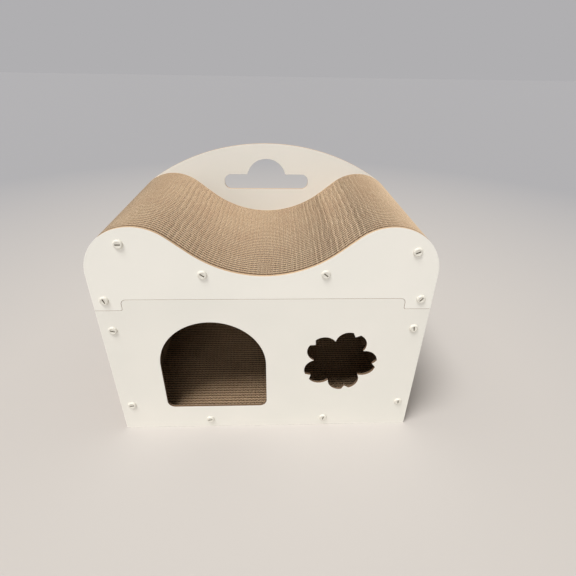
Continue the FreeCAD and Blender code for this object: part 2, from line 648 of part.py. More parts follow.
def make_petal_sketch(body):
    """One notched petal about the blossom's centre, pointing along the sketch's own X axis."""
    sketch = new_sketch(body, "petal")
    sketch.setExpression(".AttachmentOffset.Base.x", formula("blossom_offset"))
    sketch.setExpression(".AttachmentOffset.Base.y", formula("blossom_height"))
    sketch.setExpression(".AttachmentOffset.Rotation.Angle", formula("blossom_angle * 1 deg"))
    half_turn = math.pi / PETAL_COUNT
    valley = Vector(math.cos(half_turn), math.sin(half_turn), 0) * size.petal_valley_reach
    tip = Vector(size.petal_tip_reach, size.petal_tip_spread / 2, 0)
    chord = tip - valley
    sagitta = math.sqrt(size.petal_side_radius ** 2 - (chord.Length / 2) ** 2)
    across = Vector(chord.y, -chord.x, 0).normalize()
    centre = (valley + tip) / 2 + across * sagitta
    start = math.degrees(math.atan2(tip.y - centre.y, tip.x - centre.x))
    stop = math.degrees(math.atan2(valley.y - centre.y, valley.x - centre.x))
    notch, side = size.petal_notch_reach, size.petal_side_radius
    draw(sketch, [
        line(notch, 0, tip.x, tip.y),
        arc(centre.x, centre.y, side, start, stop),
        line(valley.x, valley.y, -size.petal_overlap, 0),
        line(-size.petal_overlap, 0, valley.x, -valley.y),
        arc(centre.x, -centre.y, side, -stop, -start),
        line(tip.x, -tip.y, notch, 0),
    ])
    sketch.addConstraint(Sketcher.Constraint("PointOnObject", 0, 1, -1))
    sketch.addConstraint(Sketcher.Constraint("PointOnObject", 2, 2, -1))
    sketch.addConstraint(Sketcher.Constraint("Symmetric", 0, 2, 4, 2, -1))
    sketch.addConstraint(Sketcher.Constraint("Symmetric", 1, 2, 3, 2, -1))
    sketch.addConstraint(Sketcher.Constraint("Equal", 1, 4))
    bind(sketch, "notch", "petal_notch_reach", "DistanceX", -1, 1, 0, 1, notch)
    bind(sketch, "overlap", "-petal_overlap", "DistanceX", -1, 1, 2, 2, -size.petal_overlap)
    bind(sketch, "tip_reach", "petal_tip_reach", "DistanceX", -1, 1, 0, 2, tip.x)
    bind(sketch, "tip_spread", "petal_tip_spread", "Distance", 0, 2, 4, 2, size.petal_tip_spread)
    bind(sketch, "valley_x", "petal_valley_x", "DistanceX", -1, 1, 1, 2, valley.x)
    bind(sketch, "valley_y", "petal_valley_y", "DistanceY", -1, 1, 1, 2, valley.y)
    bind(sketch, "side_radius", "petal_side_radius", "Radius", 1, side)
    return sketch


def make_block_core(name, left, right, top, places, groove):
    """A straight laminated block of the house, drilled from both faces, its open outer face grooved."""
    body = new_body(name)
    outline = new_sketch(body, f"{name}_outline")
    x0, x1, height = value_of(left), value_of(right), value_of(top)
    draw(outline, [
        line(x0, 0, x1, 0),
        line(x1, 0, x1, height),
        line(x1, height, x0, height),
        line(x0, height, x0, 0),
    ])
    outline.addConstraint(Sketcher.Constraint("PointOnObject", 0, 1, -1))
    bind(outline, "left", left, "DistanceX", -1, 1, 0, 1, x0)
    bind(outline, "right", right, "DistanceX", -1, 1, 0, 2, x1)
    bind(outline, "top", top, "DistanceY", -1, 1, 1, 2, height)
    pad(body, outline, "core_depth", symmetric=True)
    repeat_grooves(body, make_block_groove_sketch(body, *groove))
    drill(body, places, FRONT, "pilot_depth", "half_depth")
    drill(body, places, BACK, "pilot_depth", "-half_depth")


def make_block_groove_sketch(body, left, right, low, high):
    """What the open face of a straight block loses in a groove: a strip that reaches over its ends."""
    sketch = new_sketch(body, f"{body.Name}_groove_outline", offset="groove_front")
    x0, x1, z0, z1 = (value_of(name) for name in (left, right, low, high))
    draw(sketch, [
        line(x0, z0, x1, z0),
        line(x1, z0, x1, z1),
        line(x1, z1, x0, z1),
        line(x0, z1, x0, z0),
    ])
    bind(sketch, "left", left, "DistanceX", -1, 1, 0, 1, x0)
    bind(sketch, "right", right, "DistanceX", -1, 1, 0, 2, x1)
    bind(sketch, "low", low, "DistanceY", -1, 1, 0, 1, z0)
    bind(sketch, "high", high, "DistanceY", -1, 1, 2, 1, z1)
    return sketch


def add_polygon(sketch, sides, reach, centre):
    """Add a regular polygon with one side upright, and give the circle that its corners lie on."""
    first = sketch.GeometryCount
    turns = [math.tau * (number - 0.5) / sides for number in range(sides + 1)]
    corners = [centre + Vector(math.cos(turn), math.sin(turn), 0) * reach for turn in turns]
    for start, end in zip(corners, corners[1:]):
        sketch.addGeometry(Part.LineSegment(start, end), False)
    circle = sketch.addGeometry(Part.Circle(centre, Vector(0, 0, 1), reach), True)
    for number in range(sides):
        following = (number + 1) % sides
        sketch.addConstraint(Sketcher.Constraint("Coincident", first + number, 2, first + following, 1))
        sketch.addConstraint(Sketcher.Constraint("PointOnObject", first + number, 1, circle))
    for number in range(1, sides):
        sketch.addConstraint(Sketcher.Constraint("Equal", first, first + number))
    sketch.addConstraint(Sketcher.Constraint("Vertical", first))
    return circle


def draw_polygon(sketch, sides, radius):
    """Draw a regular polygon about the sketch's origin, its corners on a circle from the sheet."""
    circle = add_polygon(sketch, sides, value_of(radius), Vector(0, 0, 0))
    sketch.addConstraint(Sketcher.Constraint("Coincident", circle, 3, -1, 1))
    bind(sketch, "radius", radius, "Radius", circle, value_of(radius))


def make_screw(name, place, side):
    """A moulded screw of few faces: slotted bevelled head on the board, shank and tip in the core."""
    body = new_body(name)
    head_outline = new_sketch(body, f"{name}_head_outline", "XY_Plane")
    draw_polygon(head_outline, HEAD_SIDES, "screw_head_radius")
    head = pad(body, head_outline, "screw_head_height", name=f"{name}_head")
    bevel_end(body, head, 1, "screw_head_bevel")
    shank_outline = new_sketch(body, f"{name}_shank_outline", "XY_Plane")
    draw_polygon(shank_outline, SHANK_SIDES, "screw_shank_radius")
    shank = pad(body, shank_outline, "screw_length", reverse=True, name=f"{name}_shank")
    bevel_end(body, shank, -1, "screw_tip_length", "screw_tip_narrowing")
    cut(body, make_slot_sketch(body, name), f"{name}_slot", "screw_slot_depth")
    along, up = PLACES[place][side]
    outward = 90 if side == FRONT else -90
    slot = SLOT_ANGLES[place]
    body.Placement.Rotation = Rotation(Vector(1, 0, 0), outward) * Rotation(Vector(0, 0, 1), slot)
    body.setExpression(".Placement.Base.x", formula(along))
    body.setExpression(".Placement.Base.y", formula("-head_seat" if side == FRONT else "head_seat"))
    body.setExpression(".Placement.Base.z", formula(up))


def bevel_end(body, feature, way, length, narrowing=None):
    """Bevel the edges of the face that lies furthest up or down the body's axis."""
    doc.recompute()
    faces = enumerate(feature.Shape.Faces, start=1)
    end = max(faces, key=lambda item: way * item[1].CenterOfMass.z)[0]
    bevel = body.newObject("PartDesign::Chamfer", f"{feature.Name}_bevel")
    bevel.Base = (feature, [f"Face{end}"])
    bevel.setExpression("Size", formula(length))
    if narrowing:
        bevel.ChamferType = "Two distances"
        bevel.setExpression("Size2", formula(narrowing))
    body.Tip = bevel


def make_slot_sketch(body, name):
    """The driver slot in the plane of the screw's crown."""
    sketch = new_sketch(body, f"{name}_slot_outline", "XY_Plane", "screw_head_height")
    reach, half = size.screw_slot_length / 2, size.screw_slot_width / 2
    draw(sketch, [
        line(-reach, -half, reach, -half),
        line(reach, -half, reach, half),
        line(reach, half, -reach, half),
        line(-reach, half, -reach, -half),
    ])
    sketch.addConstraint(Sketcher.Constraint("Symmetric", 0, 1, 2, 1, -1, 1))
    bind(sketch, "reach", "screw_slot_length / 2", "DistanceX", -1, 1, 1, 1, reach)
    bind(sketch, "half", "screw_slot_width / 2", "DistanceY", -1, 1, 2, 1, half)
    return sketch


def check():
    """Stop if any object failed or any sub-part's shape is missing or broken."""
    for item in doc.Objects:
        if "Invalid" in item.State or "Error" in item.State:
            raise RuntimeError(f"{item.Name} failed: {item.getStatusString()}")
    for body in doc.findObjects("PartDesign::Body"):
        if body.Shape.isNull() or not body.Shape.isValid() or len(body.Shape.Solids) != 1:
            raise RuntimeError(f"{body.Label} isn't one valid solid")


def main():
    """Model every piece, check it and write it to its own STEP file."""
    make_saddle_core()
    make_bed_front_panel()
    make_bed_back_panel()
    make_block_core("left_wall_core", "-half_width", "-leg_inside", "shoulder_height",
                    ["wall_high_left", "wall_low_left"],
                    ("-groove_outside", "-groove_bottom", "-groove_depth", "groove_above"))
    make_block_core("right_wall_core", "leg_inside", "half_width", "shoulder_height",
                    ["wall_high_right", "wall_low_right"],
                    ("groove_bottom", "groove_outside", "-groove_depth", "groove_above"))
    make_block_core("floor_core", "-leg_inside", "leg_inside", "floor_thickness",
                    ["floor_left", "floor_right"],
                    ("-groove_outside", "groove_outside", "-groove_depth", "groove_depth"))
    make_house_front_panel()
    make_house_panel("house_back_panel", "half_depth", BACK)
    for place in PLACES:
        make_screw(f"screw_front_{place}", place, FRONT)
        make_screw(f"screw_back_{place}", place, BACK)
    doc.recompute()
    check()
    os.makedirs("parts", exist_ok=True)
    for body in doc.findObjects("PartDesign::Body"):
        body.Shape.exportStep(f"parts/{body.Label}.step")
        print(f"{body.Label}: {body.Shape.Volume / 1000:.1f} cm3")


main()
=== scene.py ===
"""Looks of the cat scratching lounge: corrugated sheets, painted boards and moulded screws.

Each corrugated core is built up as its maker glues it, from liners and fluted papers that are cut to
the core's outline. The boards get eased arrises and raw edges, and each screw gets a turned head with
a dish and a slot, and a threaded shank. Everything is in metres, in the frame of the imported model.
"""
import json
import logging
import math
import random
from contextlib import contextmanager
from dataclasses import dataclass
from enum import Enum
from typing import Callable, Iterator

import bmesh
import bpy
from bmesh.types import BMEdge, BMFace
from bpy.types import Material, Node, NodeSocket, Object
from mathutils import Color, Euler, Matrix, Vector


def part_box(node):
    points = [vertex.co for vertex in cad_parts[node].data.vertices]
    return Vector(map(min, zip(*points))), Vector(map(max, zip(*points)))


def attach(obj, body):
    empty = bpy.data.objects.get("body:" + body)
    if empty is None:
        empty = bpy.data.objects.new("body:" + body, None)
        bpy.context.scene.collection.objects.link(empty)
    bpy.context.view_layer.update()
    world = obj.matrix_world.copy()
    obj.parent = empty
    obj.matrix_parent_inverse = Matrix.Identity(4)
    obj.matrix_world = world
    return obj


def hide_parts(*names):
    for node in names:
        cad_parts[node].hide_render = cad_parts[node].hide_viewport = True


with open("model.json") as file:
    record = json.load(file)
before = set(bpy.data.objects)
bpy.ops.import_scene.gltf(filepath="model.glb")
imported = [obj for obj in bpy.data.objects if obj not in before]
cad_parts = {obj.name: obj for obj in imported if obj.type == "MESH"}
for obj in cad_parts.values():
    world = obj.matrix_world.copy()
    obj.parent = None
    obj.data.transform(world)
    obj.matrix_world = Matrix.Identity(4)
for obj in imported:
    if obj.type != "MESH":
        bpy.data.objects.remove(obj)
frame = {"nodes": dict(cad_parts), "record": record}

logging.basicConfig(level=logging.INFO, format="%(message)s")
log = logging.getLogger("lounge")

MM = 0.001
# Corners closer than this are welded into one.
WELD = 0.001 * MM
# How far the ends of fluted papers stay inside the outline of the solid that they are cut from.
TRIM = 0.3 * MM
# Faces that lean to each other by less than this are one flat face.
FLAT = math.radians(0.05)
# The brightest value of a colour on a screen.
SCREEN_WHITE = 255


class Body(Enum):
    """The two bodies of the object that the pieces ride on."""

    HOUSE = "house"
    BED = "bed"


class Slot(Enum):
    """Material slots of the record."""

    CARDBOARD = "corrugated_cardboard"
    BOARD = "painted_board"
    SCREW = "screw_plastic"


class Pick(Enum):
    """What is picked in edit mode."""

    VERT = "VERT"
    EDGE = "EDGE"
    FACE = "FACE"


def only(*objects: Object) -> None:
    """Select these objects alone and make the first one active.

    Args:
        objects: the objects to select.
    """
    bpy.ops.object.select_all(action="DESELECT")
    for obj in objects:
        obj.select_set(True)
    bpy.context.view_layer.objects.active = objects[0]


@contextmanager
def editing(obj: Object) -> Iterator[None]:
    """Open an object alone in edit mode with all of it selected, and leave that mode at the end.

    Args:
        obj: the object to edit.

    Yields:
        Nothing, while the object is open.
    """
    only(obj)
    bpy.ops.object.mode_set(mode="EDIT")
    bpy.ops.mesh.select_all(action="SELECT")
    yield
    bpy.ops.object.mode_set(mode="OBJECT")


def choose(obj: Object, pick: Pick, test: Callable[..., bool]) -> None:
    """Select the corners, edges or faces of the edited object that pass a test.

    Args:
        obj: the object in edit mode.
        pick: what is selected.
        test: says of a bmesh corner, edge or face whether it is selected.
    """
    bpy.ops.mesh.select_mode(type=pick.value)
    bpy.ops.mesh.select_all(action="DESELECT")
    shape = bmesh.from_edit_mesh(obj.data)
    kinds = {Pick.VERT: shape.verts, Pick.EDGE: shape.edges, Pick.FACE: shape.faces}
    for part in [part for part in kinds[pick] if test(part)]:
        part.select_set(True)
    bmesh.update_edit_mesh(obj.data)


def assign(obj: Object, index: int) -> None:
    """Give the selected faces of the edited object one of its material slots."""
    obj.active_material_index = index
    bpy.ops.object.material_slot_assign()


def settle() -> None:
    """Apply the place, the turn and the size of the selected objects."""
    bpy.ops.object.transform_apply(location=True, rotation=True, scale=True)


def smooth(obj: Object, angle: float) -> None:
    """Shade an object smooth where its faces meet at less than an angle."""
    only(obj)
    bpy.ops.object.shade_smooth_by_angle(angle=angle)


def modify(obj: Object, kind: str, **settings: object) -> None:
    """Add a modifier to an object and apply it at once.

    Args:
        obj: the object that is changed.
        kind: the modifier's type.
        settings: values of the modifier's properties.
    """
    only(obj)
    modifier = obj.modifiers.new(kind.lower(), kind)
    for name, value in settings.items():
        setattr(modifier, name, value)
    bpy.ops.object.modifier_apply(modifier=modifier.name)


def twin(obj: Object, name: str) -> Object:
    """Copy an object with a mesh of its own.

    Args:
        obj: the object to copy.
        name: the copy's name.

    Returns:
        The copy, with no parent, shown, and linked to the scene.
    """
    copy = obj.copy()
    copy.data = obj.data.copy()
    copy.name = copy.data.name = name
    copy.parent = None
    for key in list(copy.keys()):
        del copy[key]
    bpy.context.scene.collection.objects.link(copy)
    return copy


def discard(obj: Object) -> None:
    """Delete an object and its mesh.

    Args:
        obj: the object to delete.
    """
    mesh = obj.data
    bpy.data.objects.remove(obj)
    bpy.data.meshes.remove(mesh)


def joined(objects: list[Object], name: str) -> Object:
    """Join objects into one.

    Args:
        objects: the objects to join.
        name: the name of the result.

    Returns:
        The joined object.
    """
    only(*objects)
    if len(objects) > 1:
        bpy.ops.object.join()
    result = bpy.context.view_layer.objects.active
    result.name = result.data.name = name
    return result


def outwards(obj: Object) -> None:
    """Weld an object's doubled corners and turn its faces outwards.

    Args:
        obj: the object to mend.
    """
    with editing(obj):
        bpy.ops.mesh.remove_doubles(threshold=WELD)
        bpy.ops.mesh.normals_make_consistent(inside=False)


@dataclass(frozen=True)
class Tone:
    """A colour as it looks on a screen, each part from 0 to the screen's white."""

    red: float
    green: float
    blue: float

    def linear(self) -> tuple[float, float, float, float]:
        """Give the colour as light, for a shader, with full opacity."""
        shares = Color(part / SCREEN_WHITE for part in (self.red, self.green, self.blue))
        return (*shares.from_srgb_to_scene_linear(), 1.0)


@dataclass(frozen=True)
class Grain:
    """A noise on an object's own coordinates.

    Attributes:
        size: length of one blotch.
        octaves: how many finer octaves it has.
        stretch: how many times longer a blotch is along X, Y and Z.
    """

    size: float
    octaves: float = 3.0
    stretch: tuple[float, float, float] = (1, 1, 1)


Amount = float | NodeSocket
Colour = Tone | NodeSocket


class Nodes:
    """Builds the node tree of one material around its main shader.

    Attributes:
        octave_share: strength of each finer octave of a noise, as a share of the one before.
        colour_inputs: places of a mix node's factor and two colours.
        colour_output: place of its mixed colour.
    """

    octave_share: float = 0.6
    colour_inputs: tuple[int, int, int] = (0, 6, 7)
    colour_output: int = 2

    def __init__(self, name: str) -> None:
        """Start a material with nodes.

        Args:
            name: the material's name.
        """
        self.material = bpy.data.materials.new(name)
        self.material.use_nodes = True
        self.tree = self.material.node_tree
        self.shader = self.tree.nodes["Principled BSDF"]
        self.place = self.tree.nodes.new("ShaderNodeTexCoord").outputs["Object"]

    def feed(self, socket: NodeSocket, value: object) -> None:
        """Link an output to an input, or set the input to a tone or a plain value.

        Args:
            socket: the input.
            value: the output, tone or value.
        """
        if isinstance(value, NodeSocket):
            self.tree.links.new(value, socket)
        else:
            socket.default_value = value.linear() if isinstance(value, Tone) else value

    def add(self, kind: str, **inputs: object) -> Node:
        """Add a node.

        Args:
            kind: the node's type, without its prefix.
            inputs: what each socket is fed, by its name with spaces as underscores.

        Returns:
            The node.
        """
        node = self.tree.nodes.new("ShaderNode" + kind)
        for name, value in inputs.items():
            self.feed(node.inputs[name.replace("_", " ")], value)
        return node

    def noise(self, grain: Grain) -> NodeSocket:
        """Add a noise.

        Args:
            grain: its blotches.

        Returns:
            The noise, from 0 to 1.
        """
        scale = tuple(1 / (grain.size * factor) for factor in grain.stretch)
        spot = self.add("Mapping", Vector=self.place, Scale=scale)
        field = self.add("TexNoise", Vector=spot.outputs["Vector"], Scale=1.0, Detail=grain.octaves,
                         Roughness=self.octave_share)
        return field.outputs["Fac"]

    def between(self, factor: NodeSocket, low: Amount = 0.0, high: Amount = 1.0,
                start: float = 0.3, stop: float = 0.7) -> NodeSocket:
        """Spread the middle of a noise, or another range of a value, over a new range.

        Args:
            factor: the noise or value.
            low: result at the start of the old range.
            high: result at the end of the old range.
            start: start of the old range.
            stop: end of the old range.

        Returns:
            The spread value, held within the new range.
        """
        span = self.add("MapRange", Value=factor, From_Min=start, From_Max=stop, To_Min=low, To_Max=high)
        return span.outputs["Result"]

    def blend(self, factor: NodeSocket, first: Colour, second: Colour) -> NodeSocket:
        """Mix two colours.

        Args:
            factor: share of the second colour.
            first: the first colour.
            second: the second colour.

        Returns:
            The mixed colour.
        """
        mix = self.tree.nodes.new("ShaderNodeMix")
        mix.data_type = "RGBA"
        for index, value in zip(self.colour_inputs, (factor, first, second)):
            self.feed(mix.inputs[index], value)
        return mix.outputs[self.colour_output]

    def finish(self, colour: Colour, rough: Amount, gloss: float) -> None:
        """Feed the main shader its colour and its gloss.

        Args:
            colour: the surface's colour.
            rough: its roughness.
            gloss: how strongly it mirrors, 0.5 for common matter.
        """
        values = {"Base Color": colour, "Roughness": rough, "Specular IOR Level": gloss}
        for name, value in values.items():
            self.feed(self.shader.inputs[name], value)

    def emboss(self, relief: NodeSocket, height: float) -> None:
        """Give the surface a fine relief.

        Args:
            relief: the relief, from 0 to 1.
            height: how high it stands, in metres.
        """
        bump = self.add("Bump", Height=relief, Distance=height, Strength=1.0)
        self.tree.links.new(bump.outputs["Normal"], self.shader.inputs["Normal"])


@dataclass(frozen=True)
class KraftPaper:
    """Brown recycled paper with clouds of tone, long fibres and dark flecks.

    Attributes:
        shade_tone: colour of the painted shade towards the front, and of a band of painted shade from
            band_shade_front back to band_shade_back, just behind the front board.
        front_shade_share: how much painted shade darkens it in front of front_shade_start and between
            the sides front_shade_middle, less and less to front_shade_stop and front_shade_side; it
            stands in for the shade in the cells near the front.
        painted_light_share: how much painted light lightens it above painted_light_high and outside
            painted_light_outside, less and less to painted_light_low and painted_light_inside; it lifts
            the top and the flanks.
    """

    name: str
    light: Tone
    dark: Tone
    fleck: Tone
    shade_tone: Tone
    # Painted shade: the papers darken towards the front of the core, standing in for the shade in the
    # cells there.
    front_shade_share: float = 0.0
    # Painted light: the top and the flanks of the seat are lightened.
    painted_light_share: float = 0.0
    clouds: Grain = Grain(45 * MM)
    fibres: Grain = Grain(0.6 * MM, 4.0, (1, 1, 5))
    fibre_height: float = 0.06 * MM
    flecks: Grain = Grain(1.1 * MM, 2.0)
    fleck_share: float = 0.75
    fleck_start: float = 0.47
    # Painted shade: a thin dark band along the front of each core, where the front board shades the
    # papers.
    band_shade_share: float = 0.9
    band_shade_front: float = -149 * MM
    band_shade_back: float = -145.5 * MM
    front_shade_start: float = -140 * MM
    front_shade_stop: float = 50 * MM
    front_shade_middle: float = 150 * MM
    front_shade_side: float = 210 * MM
    # Tone of the painted light on the top and the flanks.
    painted_light: Tone = Tone(252, 230, 200)
    painted_light_inside: float = 195 * MM
    painted_light_outside: float = 250 * MM
    painted_light_low: float = 330 * MM
    painted_light_high: float = 390 * MM
    roughness: tuple[float, float] = (0.78, 0.95)
    gloss: float = 0.2

    def paint_light_and_shade(self, nodes: Nodes, colour: NodeSocket) -> NodeSocket:
        """Paint light on the top and the flanks, and shade towards the front and in a band behind the
        front board, each by its place.

        Args:
            nodes: the paper's node tree.
            colour: the paper's own colour.

        Returns:
            The colour with the painted light and shade.
        """
        across, depth, height = nodes.add("SeparateXYZ", Vector=nodes.place).outputs
        distance = nodes.add("Math", Value=across)
        distance.operation = "ABSOLUTE"
        aside = distance.outputs["Value"]
        # Painted light on the flanks and the top.
        painted_light = nodes.between(aside, 0.0, self.painted_light_share, self.painted_light_inside, self.painted_light_outside)
        painted_light = nodes.between(height, 0.0, painted_light, self.painted_light_low, self.painted_light_high)
        # Painted shade that darkens the papers towards the front of the core.
        front_shade = nodes.between(aside, self.front_shade_share, 0.0, self.front_shade_middle, self.front_shade_side)
        front_shade = nodes.between(depth, front_shade, 0.0, self.front_shade_start, self.front_shade_stop)
        # Painted shade in a thin band just behind the front board.
        band_shade = nodes.between(depth, self.band_shade_share, 0.0, self.band_shade_front, self.band_shade_back)
        for share, tone in ((painted_light, self.painted_light), (front_shade, self.shade_tone), (band_shade, self.shade_tone)):
            colour = nodes.blend(share, colour, tone)
        return colour

    def material(self) -> Material:
        """Make the paper's material.

        Returns:
            The material.
        """
        nodes = Nodes(self.name)
        fibres = nodes.noise(self.fibres)
        clouds = nodes.between(nodes.noise(self.clouds))
        flecks = nodes.between(nodes.noise(self.flecks), 0.0, self.fleck_share, self.fleck_start)
        colour = nodes.blend(flecks, nodes.blend(clouds, self.light, self.dark), self.fleck)
        nodes.finish(self.paint_light_and_shade(nodes, colour), nodes.between(fibres, *self.roughness), self.gloss)
        nodes.emboss(fibres, self.fibre_height)
        return nodes.material


@dataclass(frozen=True)
class PaintedFace:
    """Smooth warm white face of a pressed board, with faint patches, sheens and a fine skin."""

    name: str
    warm: Tone
    cool: Tone
    patches: Grain = Grain(160 * MM, 2.0)
    sheens: Grain = Grain(40 * MM)
    skin: Grain = Grain(0.9 * MM)
    skin_height: float = 0.012 * MM
    roughness: tuple[float, float] = (0.40, 0.52)
    gloss: float = 0.4

    def material(self) -> Material:
        """Make the painted face's material.

        Returns:
            The material.
        """
        nodes = Nodes(self.name)
        patches = nodes.between(nodes.noise(self.patches))
        rough = nodes.between(nodes.noise(self.sheens), *self.roughness)
        nodes.finish(nodes.blend(patches, self.warm, self.cool), rough, self.gloss)
        nodes.emboss(nodes.noise(self.skin), self.skin_height)
        return nodes.material


@dataclass(frozen=True)
class RawBoard:
    """Bare pressed board: tan fibres that lie along the faces, with darker scorched patches."""

    name: str
    light: Tone
    dark: Tone
    fibres: Grain = Grain(0.5 * MM, 4.0, (7, 1, 7))
    fibre_height: float = 0.05 * MM
    scorch: Grain = Grain(30 * MM)
    scorch_share: float = 0.35
    roughness: float = 0.8
    gloss: float = 0.2

    def material(self) -> Material:
        """Make the bare board's material.

        Returns:
            The material.
        """
        nodes = Nodes(self.name)
        fibres = nodes.noise(self.fibres)
        colour = nodes.blend(nodes.between(fibres), self.light, self.dark)
        scorch = nodes.between(nodes.noise(self.scorch), 0.0, self.scorch_share)
        nodes.finish(nodes.blend(scorch, colour, self.dark), self.roughness, self.gloss)
        nodes.emboss(fibres, self.fibre_height)
        return nodes.material


@dataclass(frozen=True)
class MouldedPlastic:
    """Satin white plastic with faint flow clouds and a fine moulded texture."""

    name: str
    light: Tone
    shade: Tone
    clouds: Grain = Grain(4 * MM)
    grain: Grain = Grain(0.2 * MM)
    grain_height: float = 0.008 * MM
    roughness: float = 0.38
    gloss: float = 0.5

    def material(self) -> Material:
        """Make the plastic's material.

        Returns:
            The material.
        """
        nodes = Nodes(self.name)
        clouds = nodes.between(nodes.noise(self.clouds))
        nodes.finish(nodes.blend(clouds, self.light, self.shade), self.roughness, self.gloss)
        nodes.emboss(nodes.noise(self.grain), self.grain_height)
        return nodes.material


Finish = KraftPaper | PaintedFace | RawBoard | MouldedPlastic


@dataclass(frozen=True)
class PaperStock:
    """The papers that the sheets of one core are made of.

    Attributes:
        glued: the liners that are glued to the next sheet.
        middle: the liner between the two fluted papers, toned darker than the glued liners as painted
            shade in the cells.
        deep: the fluted paper with the tall wave, toned very dark as painted shade in the cells.
        shallow: the fluted paper with the low wave.
        cut: the sawn edges of all of them but the deep flutes, lighter than the papers: partly the real
            cut fibres, partly a painted highlight on the rims.
        deep_cut: the sawn edges of the deep flutes, lighter in the same way.
    """

    glued: KraftPaper
    middle: KraftPaper
    deep: KraftPaper
    shallow: KraftPaper
    cut: KraftPaper
    deep_cut: KraftPaper


# In every stock the deep flutes and the middle liners are toned dark as painted shade in the cells.
SEAT_STOCK = PaperStock(
    KraftPaper("seat_glued_liner",
               Tone(194, 167, 134), Tone(188, 155, 124), Tone(162, 132, 102), Tone(96, 67, 43),
               front_shade_share=0.34, painted_light_share=0.3),
    KraftPaper("seat_middle_liner",
               Tone(170, 142, 111), Tone(162, 133, 104), Tone(138, 111, 84), Tone(70, 48, 30),
               front_shade_share=0.75, painted_light_share=0.3),
    # Painted shade: very dark paper for the cells of the deep flutes.
    KraftPaper("seat_deep_flute",
               Tone(84, 60, 40), Tone(76, 54, 36), Tone(60, 42, 28), Tone(24, 16, 10),
               front_shade_share=0.9, painted_light_share=0.35),
    KraftPaper("seat_shallow_flute",
               Tone(176, 148, 117), Tone(169, 139, 110), Tone(144, 116, 88), Tone(74, 51, 32),
               front_shade_share=0.5, painted_light_share=0.3),
    # Cut edges: partly the real lighter cut fibres, partly a painted highlight on the rims.
    KraftPaper("seat_cut_paper",
               Tone(250, 226, 194), Tone(240, 213, 181), Tone(219, 191, 158), Tone(168, 128, 91)),
    KraftPaper("seat_cut_flute",
               Tone(236, 210, 178), Tone(226, 198, 166), Tone(202, 174, 142), Tone(150, 113, 80)),
)
WALL_STOCK = PaperStock(
    KraftPaper("wall_glued_liner",
               Tone(184, 156, 124), Tone(176, 144, 114), Tone(152, 122, 93), Tone(112, 82, 55)),
    KraftPaper("wall_middle_liner",
               Tone(160, 131, 101), Tone(150, 121, 93), Tone(130, 103, 77), Tone(92, 66, 44)),
    # Painted shade: very dark paper for the cells of the deep flutes.
    KraftPaper("wall_deep_flute",
               Tone(82, 58, 39), Tone(74, 52, 35), Tone(60, 42, 28), Tone(58, 40, 26)),
    KraftPaper("wall_shallow_flute",
               Tone(162, 133, 103), Tone(152, 124, 96), Tone(132, 105, 79), Tone(94, 68, 46)),
    KraftPaper("wall_cut_paper",
               Tone(238, 211, 177), Tone(226, 197, 164), Tone(204, 175, 142), Tone(156, 118, 82)),
    KraftPaper("wall_cut_flute",
               Tone(190, 161, 129), Tone(180, 150, 119), Tone(158, 129, 100), Tone(112, 81, 55)),
)
# Painted shade: the floor pad inside the house gets darker copies of the same papers, for the shade in
# there.
SHADED_ROOM_STOCK = PaperStock(
    KraftPaper("room_glued_liner",
               Tone(173, 143, 110), Tone(161, 130, 99), Tone(140, 111, 84), Tone(110, 81, 55)),
    KraftPaper("room_middle_liner",
               Tone(132, 104, 76), Tone(120, 93, 68), Tone(102, 78, 56), Tone(87, 63, 42)),
    # Painted shade: very dark paper for the cells of the deep flutes.
    KraftPaper("room_deep_flute",
               Tone(81, 58, 39), Tone(71, 51, 33), Tone(59, 42, 27), Tone(59, 41, 26)),
    KraftPaper("room_shallow_flute",
               Tone(150, 121, 92), Tone(138, 110, 82), Tone(120, 93, 69), Tone(95, 69, 46)),
    KraftPaper("room_cut_paper",
               Tone(226, 194, 158), Tone(212, 179, 144), Tone(189, 158, 124), Tone(150, 113, 80)),
    KraftPaper("room_cut_flute",
               Tone(199, 168, 134), Tone(185, 156, 122), Tone(162, 134, 105), Tone(113, 84, 58)),
)
SEAT_FACE = PaintedFace("seat_board_face", Tone(238, 234, 225), Tone(234, 231, 222))
# Painted shade: the house boards are a darker copy of the seat boards' paint, for the dimmer light low
# down.
SHADED_HOUSE_FACE = PaintedFace("house_board_face_shaded", Tone(233, 229, 220), Tone(228, 225, 216))
BOARD_EDGE = RawBoard("raw_board_edge", Tone(214, 187, 154), Tone(190, 160, 127))
# Painted shade: the edges of the openings are darker than the other raw edges, as the board above shades
# them.
SHADED_OPENING_EDGE = RawBoard("painted_shade_opening_edge", Tone(126, 101, 78), Tone(104, 82, 61))
# Bare board on the inner faces of the house, toned darker and greyer as painted shade for the inside of
# the house.
RAW_SHADED_BOARD_INSIDE = RawBoard("raw_board_inside_shaded", Tone(136, 118, 98), Tone(120, 102, 83),
                        fibres=Grain(1.2 * MM, 4.0, (7, 1, 7)))
PLASTIC = MouldedPlastic("screw_plastic", Tone(224, 220, 209), Tone(216, 211, 199))
# Painted shade: the slot's walls and floor are dark plastic, standing in for the shade in the slot.
SLOT_SHADE_PLASTIC = MouldedPlastic("screw_slot_painted_shade", Tone(122, 112, 95), Tone(100, 90, 75), roughness=0.6)


